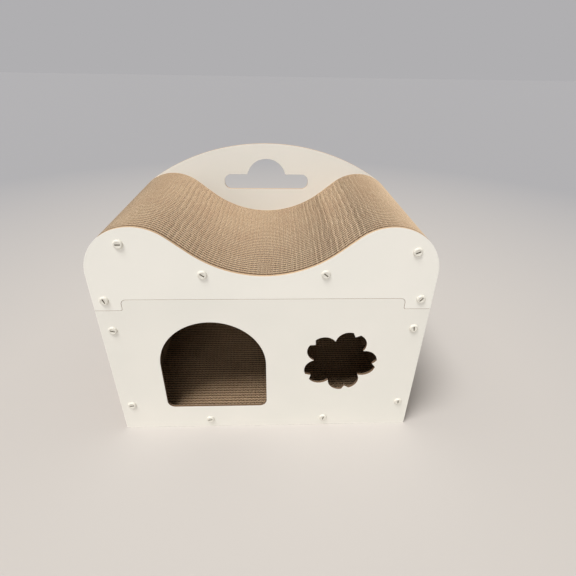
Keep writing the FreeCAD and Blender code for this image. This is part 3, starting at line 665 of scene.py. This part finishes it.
class Piece:
    """What every piece of the object needs: materials and a body."""

    # The materials made so far, by name.
    materials: dict[str, Material] = {}

    @classmethod
    def material(cls, finish: Finish) -> Material:
        """Make a finish's material once, and give the same one after that.

        Args:
            finish: a finish of this object.

        Returns:
            Its material.
        """
        if finish.name not in cls.materials:
            cls.materials[finish.name] = finish.material()
        return cls.materials[finish.name]

    @classmethod
    def dress(cls, obj: Object, *finishes: Finish) -> None:
        """Put finishes on an object's slots, in order.

        Args:
            obj: the piece's object.
            finishes: the finish of each slot.
        """
        obj.data.materials.clear()
        for finish in finishes:
            obj.data.materials.append(cls.material(finish))

    @staticmethod
    def mount(obj: Object, body: Body, slot: Slot, *nodes: str) -> None:
        """Set a piece to ride on its body in place of the nodes that it stands for.

        Args:
            obj: the piece's object.
            body: the body that it moves with.
            slot: the record's material slot that it stands for; not used.
            nodes: the nodes that it replaces.
        """
        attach(obj, body.value)
        if nodes:
            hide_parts(*nodes)
        triangles = sum(len(face.vertices) - 2 for face in obj.data.polygons)
        log.info("%s: %d triangles, on %s", obj.name, triangles, body.value)


@dataclass(frozen=True)
class Flute:
    """A fluted paper of a corrugated sheet.

    Attributes:
        pitch: length of one wave.
        height: from crest to crest, over both sides of the paper.
        centre: distance of its middle from the sheet's front.
        finish: its paper.
        cut: its sawn edges.
    """

    pitch: float
    height: float
    centre: float
    finish: KraftPaper
    cut: KraftPaper


@dataclass
class CorrugatedCore:
    """A block of upright corrugated sheets, glued face to face and cut to the outline of a node.

    Attributes:
        node: the solid that it stands for.
        body: the body that it rides on.
        stock: the papers of its sheets.
        seed: starts its random drift of the flutes.
        pieces: how many pieces its fluted papers are split into.
        steps: straight steps in each wave of a fluted paper.
        curved: whether its top and its underside follow the solid's curves.
        glued_liner: thickness of two liners glued together.
        middle_share: place of the middle liner in the sheet.
        drift: how far the flutes may move along from sheet to sheet.
        jitter: how far one fluted paper may lie off its place.
        fray: reach and patches of the edges' push between the sheets.
        wear: reach and patches of the edges' push down a curved top.
        spare: how much longer papers are before they are cut.
    """

    node: str
    body: Body
    stock: PaperStock
    seed: int
    pieces: int = 1
    steps: int = 8
    curved: bool = False
    sheet_count: int = 43
    paper: float = 0.5 * MM
    glued_liner: float = 0.95 * MM
    middle_share: float = 0.6
    deep_pitch: float = 7.95 * MM
    shallow_pitch: float = 6.35 * MM
    drift: float = 0.9 * MM
    jitter: float = 0.5 * MM
    fray: tuple[float, float] = (0.9 * MM, 14 * MM)
    wear: tuple[float, float] = (1.0 * MM, 5 * MM)
    spare: float = 10 * MM

    def __post_init__(self) -> None:
        """Read the solid's box and share each sheet out between its papers."""
        self.low, self.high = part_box(self.node)
        self.sheet = (self.high.y - self.low.y) / self.sheet_count
        self.middle = self.sheet * self.middle_share
        glue = self.glued_liner / 2
        deep = self.middle - self.paper / 2 - glue
        shallow = self.sheet - self.middle - self.paper / 2 - glue
        stock = self.stock
        self.flutes = (
            Flute(self.deep_pitch, deep, glue + deep / 2, stock.deep, stock.deep_cut),
            Flute(self.shallow_pitch, shallow, self.sheet - glue - shallow / 2,
                  stock.shallow, stock.cut),
        )
        self.chance = random.Random(self.seed)

    def strip(self, flute: Flute) -> Object:
        """Fold one fluted paper for the full length, from an upright edge, with no thickness yet.

        Args:
            flute: the paper's wave.

        Returns:
            The paper, one pitch longer than the block at both ends.
        """
        spare = self.spare if self.curved else 0.0
        bottom, top = self.low.z - spare, self.high.z + spare
        rise = top - bottom
        bpy.ops.mesh.primitive_plane_add(size=rise, rotation=(math.pi / 2, 0, 0))
        strip = bpy.context.active_object
        settle()
        crest = (flute.height - self.paper) / 2
        with editing(strip):
            choose(strip, Pick.VERT, lambda corner: corner.co.x > 0)
            bpy.ops.mesh.delete(type="VERT")
            bpy.ops.mesh.select_all(action="SELECT")
            start = (self.low.x - flute.pitch + rise / 2, crest, bottom + rise / 2)
            bpy.ops.transform.translate(value=start)
            for step in range(self.steps):
                before, after = (math.cos(math.tau * turn / self.steps) for turn in (step, step + 1))
                move = (flute.pitch / self.steps, crest * (after - before), 0)
                bpy.ops.mesh.extrude_region_move(TRANSFORM_OT_translate={"value": move})
        for name, upper in (("top", True), ("bottom", False)):
            group = strip.vertex_groups.new(name=name)
            level = bottom + rise / 2
            corners = [corner.index for corner in strip.data.vertices if (corner.co.z > level) == upper]
            group.add(corners, 1.0, "ADD")
        Piece.dress(strip, flute.finish, flute.cut)
        count = math.ceil((self.high.x - self.low.x) / flute.pitch) + 2
        modify(strip, "ARRAY", count=count, use_relative_offset=False, use_constant_offset=True,
               constant_offset_displace=(flute.pitch, 0, 0), use_merge_vertices=True,
               merge_threshold=WELD)
        return strip

    def fluted(self, name: str, envelope: Object, strips: list[Object],
               phases: list[float], sheets: range) -> Object:
        """Lay fluted papers for some of the sheets, cut them to the outline and thicken them.

        Args:
            name: the piece's name.
            envelope: the block without holes and grooves.
            strips: the paper of each flute.
            phases: how far each flute has drifted along the sheets, kept from piece to piece.
            sheets: the sheets of this piece, counted from the front.

        Returns:
            The piece.
        """
        papers = []
        for number in sheets:
            for kind, (flute, strip) in enumerate(zip(self.flutes, strips)):
                paper = twin(strip, f"{name}_paper")
                drift = self.chance.uniform(-self.drift, self.drift)
                phases[kind] = (phases[kind] + drift) % flute.pitch
                jitter = self.chance.uniform(-self.jitter, self.jitter)
                phase = (phases[kind] + jitter) % flute.pitch
                depth = self.low.y + self.sheet * number + flute.centre
                paper.data.transform(Matrix.Translation((phase, depth, 0)))
                papers.append(paper)
        piece = joined(papers, name)
        with editing(piece):
            for place, way in ((self.low.x + TRIM, -1), (self.high.x - TRIM, 1)):
                bpy.ops.mesh.select_all(action="SELECT")
                bpy.ops.mesh.bisect(plane_co=(place, 0, 0), plane_no=(way, 0, 0),
                                    clear_outer=True, threshold=WELD)
        if self.curved:
            self.cut_to_curves(piece, envelope)
            self.rub(piece, "Z", *self.wear, still=1.0)
        self.rub(piece, "Y", *self.fray, still=0.5)
        # The rims take the cut paper, partly a painted highlight.
        modify(piece, "SOLIDIFY", thickness=self.paper, offset=0.0, material_offset_rim=1)
        return piece

    def cut_to_curves(self, piece: Object, envelope: Object) -> None:
        """Bring the papers' tops and bottoms to the curves of the block.

        Args:
            piece: the papers, taller than the block.
            envelope: the block without holes and grooves.
        """
        for group, down in (("top", True), ("bottom", False)):
            modify(piece, "SHRINKWRAP", wrap_method="PROJECT", target=envelope, vertex_group=group,
                   use_project_z=True, use_negative_direction=down, use_positive_direction=not down)

    def rub(self, piece: Object, axis: str, reach: float, patch: float, still: float) -> None:
        """Push the papers' upper edges a little, as the saw and claws leave them.

        Args:
            piece: the papers.
            axis: the direction of the push.
            reach: distance between the furthest pushes.
            patch: size of a patch that is pushed alike.
            still: noise value that isn't pushed: 1 where edges only get lower, 0.5 for both ways.
        """
        texture = bpy.data.textures.new(f"{piece.name}_{axis}", "CLOUDS")
        texture.noise_scale = patch
        modify(piece, "DISPLACE", texture=texture, texture_coords="LOCAL", direction=axis,
               strength=reach, mid_level=still, vertex_group="top")

    def outline(self) -> Object:
        """Cut one flat sheet out of the middle of the solid, clear of its screw holes.

        Returns:
            One face with the outline of the solid.
        """
        sheet = twin(frame["nodes"][self.node], f"{self.node}_outline")
        middle = (self.low.y + self.high.y) / 2
        with editing(sheet):
            bpy.ops.mesh.remove_doubles(threshold=WELD)
            bpy.ops.mesh.bisect(plane_co=(0, middle, 0), plane_no=(0, 1, 0),
                                use_fill=True, clear_outer=True)
            choose(sheet, Pick.FACE,
                   lambda face: any(abs(corner.co.y - middle) > WELD for corner in face.verts))
            bpy.ops.mesh.delete(type="FACE")
            bpy.ops.mesh.select_all(action="SELECT")
            bpy.ops.mesh.dissolve_limited(angle_limit=FLAT)
            bpy.ops.transform.translate(value=(0, -middle, 0))
        return sheet

    def liners(self, outline: Object) -> Object:
        """Make the flat papers: one in the middle of each sheet and one glued pair on each joint.

        Args:
            outline: one flat sheet of the core.

        Returns:
            The flat papers as one piece.
        """
        kinds = []
        for finish, thickness in ((self.stock.middle, self.paper),
                                  (self.stock.glued, self.glued_liner),
                                  (self.stock.glued, self.paper)):
            kind = twin(outline, finish.name)
            Piece.dress(kind, finish, self.stock.cut)
            # The rims take the cut paper, partly a painted highlight.
            modify(kind, "SOLIDIFY", thickness=thickness, offset=0.0, material_offset_rim=1)
            kinds.append(kind)
        middle, glued, outer = kinds
        places = [(middle, self.sheet * number + self.middle) for number in range(self.sheet_count)]
        places += [(glued, self.sheet * number) for number in range(1, self.sheet_count)]
        places += [(outer, self.paper / 2), (outer, self.sheet * self.sheet_count - self.paper / 2)]
        papers = []
        for kind, depth in places:
            paper = twin(kind, f"{self.node}_liner")
            paper.data.transform(Matrix.Translation((0, self.low.y + depth, 0)))
            papers.append(paper)
        for kind in kinds:
            discard(kind)
        return joined(papers, f"{self.node}_liners")

    def build(self) -> None:
        """Build the whole core and put it in place of its node."""
        outline = self.outline()
        liners = self.liners(outline)
        Piece.mount(liners, self.body, Slot.CARDBOARD, self.node)
        modify(outline, "SOLIDIFY", thickness=self.high.y - self.low.y + self.spare, offset=0.0)
        strips = [self.strip(flute) for flute in self.flutes]
        phases = [self.chance.uniform(0, flute.pitch) for flute in self.flutes]
        for number in range(self.pieces):
            first = self.sheet_count * number // self.pieces
            last = self.sheet_count * (number + 1) // self.pieces
            name = f"{self.node}_flutes_{number + 1}"
            piece = self.fluted(name, outline, strips, phases, range(first, last))
            Piece.mount(piece, self.body, Slot.CARDBOARD)
        for helper in (outline, *strips):
            discard(helper)


@dataclass
class CutBoard:
    """A pressed board: the node's own outline with eased arrises, painted faces and raw edges.

    Attributes:
        node: the solid that it stands for.
        body: the body that it rides on.
        face: the finish of its painted faces.
        bare: the way along Y that a face looks which is left unpainted and gets painted shade, or 0 for
            none.
        inset: how far inside its box the edges of its openings start that get painted shade, or 0 for
            none.
        arris: width of the bevel where faces meet at more than corner_angle.
        head_radius: how close to a screw's axis corners stay sharp.
        raw_share: how far a face may look along Y and still be a cut edge.
    """

    node: str
    body: Body
    face: PaintedFace
    bare: int = 0
    inset: float = 0.0
    arris: float = 0.25 * MM
    arris_steps: int = 3
    corner_angle: float = math.radians(50)
    smooth_angle: float = math.radians(30)
    head_radius: float = 7.5 * MM
    raw_share: float = 0.25

    def __post_init__(self) -> None:
        """Read the board's box, and where the screws stand seen from the front."""
        boxes = [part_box(name) for name in frame["nodes"] if name.startswith("screw_")]
        self.screws = [((low.x + high.x) / 2, (low.z + high.z) / 2) for low, high in boxes]
        self.low, self.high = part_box(self.node)

    def is_arris(self, edge: BMEdge) -> bool:
        """Say whether an edge is a sharp corner that no screw head covers.

        Args:
            edge: an edge of the board.

        Returns:
            Whether it is.
        """
        middle = (edge.verts[0].co + edge.verts[1].co) / 2
        if any(math.hypot(middle.x - x, middle.z - z) < self.head_radius for x, z in self.screws):
            return False
        return edge.is_manifold and edge.calc_face_angle() > self.corner_angle

    def in_opening(self, face: BMFace) -> bool:
        """Say whether a face is an edge of an opening, which gets painted shade.

        Args:
            face: a face of the board.

        Returns:
            Whether it is.
        """
        middle = face.calc_center_median()
        rows = ((self.low.x, middle.x, self.high.x), (self.low.z, middle.z, self.high.z))
        inside = all(low + self.inset < place < high - self.inset for low, place, high in rows)
        return self.inset > 0 and inside and self.is_cut(face)

    def is_cut(self, face: BMFace) -> bool:
        """Say whether a face is a cut edge of the board."""
        return abs(face.normal.y) < self.raw_share

    def is_bare(self, face: BMFace) -> bool:
        """Say whether a face looks the way that is left unpainted."""
        return self.bare != 0 and face.normal.y * self.bare > 1 - self.raw_share

    def build(self) -> None:
        """Ease the board's arrises and paint its two faces."""
        board = twin(frame["nodes"][self.node], f"{self.node}_board")
        with editing(board):
            bpy.ops.mesh.remove_doubles(threshold=WELD)
            bpy.ops.mesh.dissolve_limited(angle_limit=FLAT)
            choose(board, Pick.EDGE, self.is_arris)
            bpy.ops.mesh.bevel(offset=self.arris, segments=self.arris_steps, affect="EDGES",
                               clamp_overlap=False)
        bare_parts = (
            (BOARD_EDGE, self.is_cut),
            (RAW_SHADED_BOARD_INSIDE, self.is_bare),
            # The openings' edges get painted shade.
            (SHADED_OPENING_EDGE, self.in_opening),
        )
        Piece.dress(board, self.face, *(finish for finish, _ in bare_parts))
        for index, (_, test) in enumerate(bare_parts, 1):
            with editing(board):
                choose(board, Pick.FACE, test)
                assign(board, index)
        smooth(board, self.smooth_angle)
        modify(board, "WEIGHTED_NORMAL", keep_sharp=True)
        Piece.mount(board, self.body, Slot.BOARD, self.node)


@dataclass
class PlasticScrew:
    """The moulded screw: a turned head with a dish and a slot, and a shank with a coarse thread.

    Attributes:
        dish_slope: width of the slope round the dish.
        thread_root: how deep the thread's ridge reaches into the shank.
        sides: sides of the turned parts, all round.
        thread_steps: straight steps in one turn of the thread.
        ridge_rise: height of the ridge's section by the radius of the circle round it.
    """

    head_radius: float = 7.5 * MM
    head_height: float = 3.0 * MM
    edge_radius: float = 2.2 * MM
    edge_steps: int = 6
    dish_radius: float = 5.0 * MM
    dish_depth: float = 0.35 * MM
    dish_slope: float = 0.9 * MM
    shank_radius: float = 2.8 * MM
    thread_radius: float = 3.45 * MM
    thread_pitch: float = 3.2 * MM
    thread_root: float = 0.3 * MM
    length: float = 30 * MM
    tip_length: float = 6 * MM
    tip_radius: float = 1.2 * MM
    slot_length: float = 8.2 * MM
    slot_width: float = 2.0 * MM
    slot_depth: float = 1.5 * MM
    slot_corner: float = 0.5 * MM
    slot_steps: int = 3
    sides: int = 48
    thread_steps: int = 16
    ridge_sides: int = 3
    ridge_rise: float = 1.5
    smooth_angle: float = math.radians(35)

    def profile(self) -> list[tuple[float, float]]:
        """List the turned outline.

        Returns:
            Its corners, as distance from the axis and height above the board.
        """
        top, edge = self.head_height, self.edge_radius
        points = [
            (0, top - self.dish_depth),
            (self.dish_radius - self.dish_slope, top - self.dish_depth),
            (self.dish_radius, top),
        ]
        for step in range(self.edge_steps + 1):
            turn = math.pi / 2 * step / self.edge_steps
            out = self.head_radius - edge + edge * math.sin(turn)
            points.append((out, top - edge + edge * math.cos(turn)))
        points += [
            (self.head_radius, 0),
            (self.shank_radius, 0),
            (self.shank_radius, self.tip_length - self.length),
            (self.tip_radius, -self.length),
            (0, -self.length),
        ]
        return points

    def turned(self) -> Object:
        """Turn the head and the shank about the screw's axis.

        Returns:
            The closed solid.
        """
        points = self.profile()
        bpy.ops.mesh.primitive_plane_add(size=self.head_radius, location=(0, 0, 0))
        body = bpy.context.active_object
        with editing(body):
            choose(body, Pick.VERT, lambda corner: corner.index != 0)
            bpy.ops.mesh.delete(type="VERT")
            bpy.ops.mesh.select_all(action="SELECT")
            now = Vector((-self.head_radius / 2, -self.head_radius / 2, 0))
            goal = Vector((points[0][0], 0, points[0][1]))
            bpy.ops.transform.translate(value=goal - now)
            for (out, up), (next_out, next_up) in zip(points, points[1:]):
                move = (next_out - out, 0, next_up - up)
                bpy.ops.mesh.extrude_region_move(TRANSFORM_OT_translate={"value": move})
            bpy.ops.mesh.select_all(action="SELECT")
            bpy.ops.mesh.spin(steps=self.sides, angle=math.tau, center=(0, 0, 0), axis=(0, 0, 1))
        outwards(body)
        return body

    def slot_cutter(self) -> Object:
        """Make the block with rounded corners that leaves the driver slot.

        Returns:
            The block, whose faces carry a dark plastic that paints shade into the slot.
        """
        bpy.ops.mesh.primitive_cube_add(size=1, location=(0, 0, self.head_height))
        block = bpy.context.active_object
        block.dimensions = (self.slot_length, self.slot_width, 2 * self.slot_depth)
        settle()
        with editing(block):
            choose(block, Pick.EDGE, lambda edge: abs(edge.verts[0].co.z - edge.verts[1].co.z) > WELD)
            bpy.ops.mesh.bevel(offset=self.slot_corner, segments=self.slot_steps, affect="EDGES")
        Piece.dress(block, PLASTIC, SLOT_SHADE_PLASTIC)
        # All the cutter's faces take the dark plastic, so the slot that it leaves is painted with shade.
        with editing(block):
            assign(block, 1)
        return block

    def thread(self) -> Object:
        """Wind the thread's ridge round the shank.

        Returns:
            The ridge, with closed ends.
        """
        ridge = (self.thread_radius - self.shank_radius + self.thread_root) / self.ridge_rise
        reach = self.thread_radius - ridge
        turns = (self.length - self.tip_length) / self.thread_pitch - 1
        bpy.ops.mesh.primitive_circle_add(vertices=self.ridge_sides, radius=ridge,
                                          rotation=(math.pi / 2, 0, 0))
        coil = bpy.context.active_object
        settle()
        with editing(coil):
            bpy.ops.transform.rotate(value=math.pi / 2, orient_axis="Y", center_override=(0, 0, 0))
            start = (reach, 0, self.tip_length - self.length + self.thread_pitch / 2)
            bpy.ops.transform.translate(value=start)
        steps = round(turns * self.thread_steps)
        modify(coil, "SCREW", angle=math.tau * turns, screw_offset=self.thread_pitch * turns,
               steps=steps, render_steps=steps, axis="Z", use_merge_vertices=False)
        with editing(coil):
            bpy.ops.mesh.fill_holes(sides=self.ridge_sides)
        outwards(coil)
        return coil

    def pattern(self) -> Object:
        """Make the screw that the others are copied from.

        Returns:
            The screw, with the board's surface at the origin and its head upwards.
        """
        body = self.turned()
        Piece.dress(body, PLASTIC, SLOT_SHADE_PLASTIC)
        cutter = self.slot_cutter()
        modify(body, "BOOLEAN", operation="DIFFERENCE", solver="EXACT", object=cutter)
        discard(cutter)
        screw = joined([body, self.thread()], "screw_pattern")
        smooth(screw, self.smooth_angle)
        return screw


# How far each screw's slot is turned from level, in degrees, by the screw's place.
SLOT_TURNS = {
    "lobe_left": 0, "lobe_right": 25, "valley_left": -35, "valley_right": -40,
    "ear_left": -70, "ear_right": 50, "wall_high_left": -15, "wall_high_right": -80,
    "wall_low_left": 5, "wall_low_right": -85, "floor_left": 10, "floor_right": 80,
}


@dataclass
class ScrewSet:
    """All the screws of the object, each turned to where its slot came to rest."""

    screw: PlasticScrew

    def place(self, pattern: Object, node: str, body: Body) -> None:
        """Copy the screw to the place of one node.

        Args:
            pattern: the screw to copy.
            node: the solid that the copy stands for, named after its side and its place.
            body: the body that it rides on.
        """
        low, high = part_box(node)
        _, side, place = node.split("_", 2)
        front = side == "front"
        seat = low.y + self.screw.head_height if front else high.y - self.screw.head_height
        outward = math.pi / 2 if front else -math.pi / 2
        turn = Euler((outward, 0, math.radians(SLOT_TURNS[place])), "ZYX").to_matrix().to_4x4()
        screw = twin(pattern, f"{node}_moulded")
        centre = Vector(((low.x + high.x) / 2, seat, (low.z + high.z) / 2))
        screw.matrix_world = Matrix.Translation(centre) @ turn
        only(screw)
        settle()
        Piece.mount(screw, body, Slot.SCREW, node)

    def build(self) -> None:
        """Copy the screw to the place of each node whose name starts with screw."""
        pattern = self.screw.pattern()
        for body in Body:
            for node in frame["record"]["behaviour"]["bodies"][body.value]:
                if node.startswith("screw_"):
                    self.place(pattern, node, body)
        discard(pattern)


@dataclass(frozen=True)
class Lamp:
    """A broad soft light that comes evenly from one side.

    Attributes:
        place: the side that it comes from.
        strength: how much light falls on a surface that faces it.
        spread: how wide it looks from the object, as an angle.
    """

    name: str
    place: tuple[float, float, float]
    strength: float
    spread: float

    def build(self) -> None:
        """Put the light into the scene."""
        data = bpy.data.lights.new(self.name, "SUN")
        data.angle = self.spread
        data.energy = self.strength
        lamp = bpy.data.objects.new(self.name, data)
        bpy.context.scene.collection.objects.link(lamp)
        lamp.location = self.place
        lamp.rotation_euler = (-Vector(self.place)).to_track_quat("-Z", "Y").to_euler()


@dataclass
class Studio:
    """A pale floor, soft lamps and a camera where the photograph was taken from.

    Attributes:
        near: how far out the floor starts to turn from floor_tone into far_tone, its tone at far.
        lens: focal length in millimetres.
        pitch: how far the camera looks down, with yaw to the right and roll to the side.
    """

    floor_size: float = 30.0
    floor_tone: Tone = Tone(194, 188, 182)
    far_tone: Tone = Tone(160, 159, 161)
    floor_rough: float = 0.7
    floor_gloss: float = 0.3
    near: float = 0.6
    far: float = 2.2
    sky_tone: Tone = Tone(255, 253, 249)
    sky_strength: float = 0.26
    backdrop_tone: Tone = Tone(176, 175, 177)
    lamps: tuple[Lamp, ...] = (
        Lamp("key_lamp", (-0.85, -0.85, 2.95), 3.15, math.radians(24)),
        Lamp("fill_lamp", (-0.3, -2.6, 0.5), 1.04, math.radians(40)),
    )
    lens: float = 24.606
    camera_place: tuple[float, float, float] = (0.0132, -0.6948, 0.6358)
    pitch: float = math.radians(30.53)
    yaw: float = math.radians(2.52)
    roll: float = math.radians(1.02)

    def camera(self) -> None:
        """Set the camera up where the photograph was taken from."""
        data = bpy.data.cameras.new("photo_camera")
        data.lens = self.lens
        camera = bpy.data.objects.new("photo_camera", data)
        bpy.context.scene.collection.objects.link(camera)
        reach = math.cos(self.pitch)
        forward = Vector((math.sin(self.yaw) * reach, math.cos(self.yaw) * reach, -math.sin(self.pitch)))
        level = Vector((math.cos(self.yaw), -math.sin(self.yaw), 0))
        upward = level.cross(forward)
        right = math.cos(self.roll) * level + math.sin(self.roll) * upward
        up = math.cos(self.roll) * upward - math.sin(self.roll) * level
        turn = Matrix((right, up, -forward)).transposed().to_4x4()
        camera.matrix_world = Matrix.Translation(self.camera_place) @ turn
        bpy.context.scene.camera = camera

    def floor(self) -> None:
        """Lay the pale floor that the object stands on, a little greyer far from it."""
        bpy.ops.object.select_all(action="DESELECT")
        bpy.ops.mesh.primitive_plane_add(size=self.floor_size)
        floor = bpy.context.active_object
        floor.name = "studio_floor"
        nodes = Nodes("studio_floor")
        away = nodes.add("VectorMath", Vector=nodes.place)
        away.operation = "LENGTH"
        share = nodes.between(away.outputs["Value"], start=self.near, stop=self.far)
        colour = nodes.blend(share, self.floor_tone, self.far_tone)
        nodes.finish(colour, self.floor_rough, self.floor_gloss)
        floor.data.materials.append(nodes.material)

    def build(self) -> None:
        """Set the whole studio up."""
        self.camera()
        self.floor()
        for lamp in self.lamps:
            lamp.build()
        self.world()
        bpy.context.scene.view_settings.view_transform = "Standard"

    def world(self) -> None:
        """Light the object softly from all round, before a pale backdrop."""
        world = bpy.data.worlds.new("studio_world")
        world.use_nodes = True
        tree = world.node_tree
        sky = tree.nodes["Background"]
        sky.inputs["Color"].default_value = self.sky_tone.linear()
        sky.inputs["Strength"].default_value = self.sky_strength
        backdrop = tree.nodes.new("ShaderNodeBackground")
        backdrop.inputs["Color"].default_value = self.backdrop_tone.linear()
        ray = tree.nodes.new("ShaderNodeLightPath")
        seen = ray.outputs["Is Camera Ray"]
        for kind in ("Is Glossy Ray", "Is Transmission Ray"):
            either = tree.nodes.new("ShaderNodeMath")
            either.operation = "MAXIMUM"
            for source, socket in zip((seen, ray.outputs[kind]), either.inputs):
                tree.links.new(source, socket)
            seen = either.outputs["Value"]
        mix = tree.nodes.new("ShaderNodeMixShader")
        for source, socket in zip((seen, sky.outputs[0], backdrop.outputs[0]), mix.inputs):
            tree.links.new(source, socket)
        tree.links.new(mix.outputs["Shader"], tree.nodes["World Output"].inputs["Surface"])
        bpy.context.scene.world = world


def main() -> None:
    """Build the object piece by piece, then the studio."""
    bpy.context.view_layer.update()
    CorrugatedCore("saddle_core", Body.BED, SEAT_STOCK, seed=3, pieces=3, curved=True).build()
    CorrugatedCore("left_wall_core", Body.HOUSE, WALL_STOCK, seed=5).build()
    CorrugatedCore("right_wall_core", Body.HOUSE, WALL_STOCK, seed=8).build()
    CorrugatedCore("floor_core", Body.HOUSE, SHADED_ROOM_STOCK, seed=13, pieces=2, steps=6).build()
    CutBoard("bed_front_panel", Body.BED, SEAT_FACE).build()
    CutBoard("bed_back_panel", Body.BED, SEAT_FACE).build()
    CutBoard("house_front_panel", Body.HOUSE, SHADED_HOUSE_FACE, bare=1, inset=30 * MM).build()
    CutBoard("house_back_panel", Body.HOUSE, SHADED_HOUSE_FACE, bare=-1).build()
    ScrewSet(PlasticScrew()).build()
    Studio().build()


if __name__ == "__main__":
    main()
